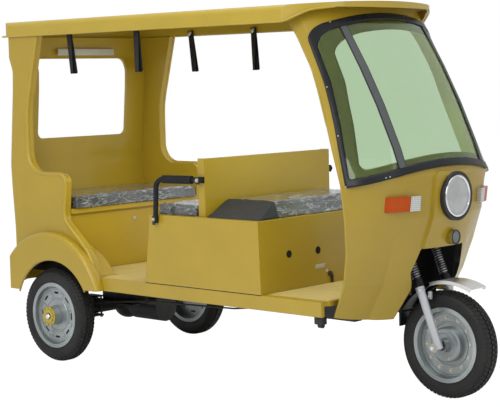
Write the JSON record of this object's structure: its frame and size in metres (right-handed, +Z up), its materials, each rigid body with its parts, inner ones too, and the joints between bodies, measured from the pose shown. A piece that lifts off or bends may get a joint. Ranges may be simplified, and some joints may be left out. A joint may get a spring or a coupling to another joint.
{
  "type": "passenger auto rickshaw",
  "caption": "Three-wheeled electric passenger rickshaw with an open-sided gold body, a wrapped windscreen, bench seats and a steerable front wheel.",
  "frame": {"origin": "on the ground, under the middle of the overall length, on the vehicle's middle plane", "axes": "+X to the front of the vehicle, +Y to its left, +Z up"},
  "size_m": [2.6729, 1.06, 1.7259],
  "materials": {
    "gold_paint": "gloss gold enamel",
    "gold_roof": "gloss gold enamel",
    "black_paint": "satin black",
    "silver_paint": "silver enamel",
    "grey_paint": "grey enamel",
    "chrome_plate": "polished",
    "bright_steel": "polished sheet",
    "spring_steel": "dark rolled leaves",
    "black_plastic": "moulded",
    "grey_plastic": "ribbed strip",
    "black_rubber": "moulded rubber",
    "tyre_rubber": "road tread",
    "black_webbing": "woven strap",
    "grey_vinyl": "vinyl under clear film",
    "tinted_glass": "pale green tint",
    "clear_lens": "clear",
    "amber_lens": "amber",
    "red_lens": "red",
    "plate_white": "blank plate",
    "motor_aluminium": "cast housing",
    "battery_case": "moulded case"
  },
  "bodies": {
    "chassis": {"roof_shell": "gold_roof", "rear_quarter_right": "gold_paint", "rear_quarter_left": "gold_paint", "rear_wall": "gold_paint", "rear_fender_right": "gold_paint", "rear_fender_left": "gold_paint", "wheel_arches": "gold_paint", "floor_pan": "gold_paint", "seat_box": "gold_paint", "rear_bench_box": "gold_paint", "partition_board": "gold_paint", "front_cowl": "gold_paint", "windscreen_surround": "gold_paint", "bulkhead": "gold_paint", "dash_shelf": "black_plastic", "windscreen_gasket": "black_rubber", "windscreen_glass": "tinted_glass", "windscreen_strips": "grey_plastic", "headlamp_bezel": "black_plastic", "headlamp_lens": "clear_lens", "indicator_lenses_amber": "amber_lens", "indicator_lenses_clear": "clear_lens", "nose_roundel": "grey_paint", "tail_lamps": "red_lens", "number_plate": "plate_white", "driver_cushion": "grey_vinyl", "passenger_cushion": "grey_vinyl", "rear_bench_cushion": "grey_vinyl", "grab_straps": "black_webbing", "handrails": "black_rubber", "chassis_frame": "black_paint", "leaf_springs": "spring_steel", "rear_axle": "black_paint", "drive_motor": "motor_aluminium", "battery_pack": "battery_case"},
    "steering": {"fork_legs": "silver_paint", "fork_springs": "chrome_plate", "fork_boots": "black_rubber", "fork_yoke": "black_paint", "front_axle": "bright_steel", "handlebar": "chrome_plate", "handlebar_grips": "black_rubber", "front_mudguard": "bright_steel", "front_mud_flap": "black_rubber"},
    "front_wheel": {"front_tyre": "tyre_rubber", "front_rim": "grey_paint"},
    "rear_wheel_right": {"rear_tyre_right": "tyre_rubber", "rear_rim_right": "grey_paint"},
    "rear_wheel_left": {"rear_tyre_left": "tyre_rubber", "rear_rim_left": "grey_paint"}
  },
  "joints": [
    {"name": "steering", "type": "hinge", "parent": "chassis", "child": "steering", "pos_m": [1.0835, 0, 0.235], "axis": [-0.3641, 0, 0.9314], "range_deg": [-35, 35]},
    {"name": "front_wheel_spin", "type": "hinge", "parent": "steering", "child": "front_wheel", "pos_m": [1.1015, 0, 0.235], "axis": [0, 1, 0], "continuous": true},
    {"name": "rear_wheel_right_spin", "type": "hinge", "parent": "chassis", "child": "rear_wheel_right", "pos_m": [-0.9685, -0.465, 0.235], "axis": [0, 1, 0], "continuous": true},
    {"name": "rear_wheel_left_spin", "type": "hinge", "parent": "chassis", "child": "rear_wheel_left", "pos_m": [-0.9685, 0.465, 0.235], "axis": [0, 1, 0], "continuous": true}
  ]
}
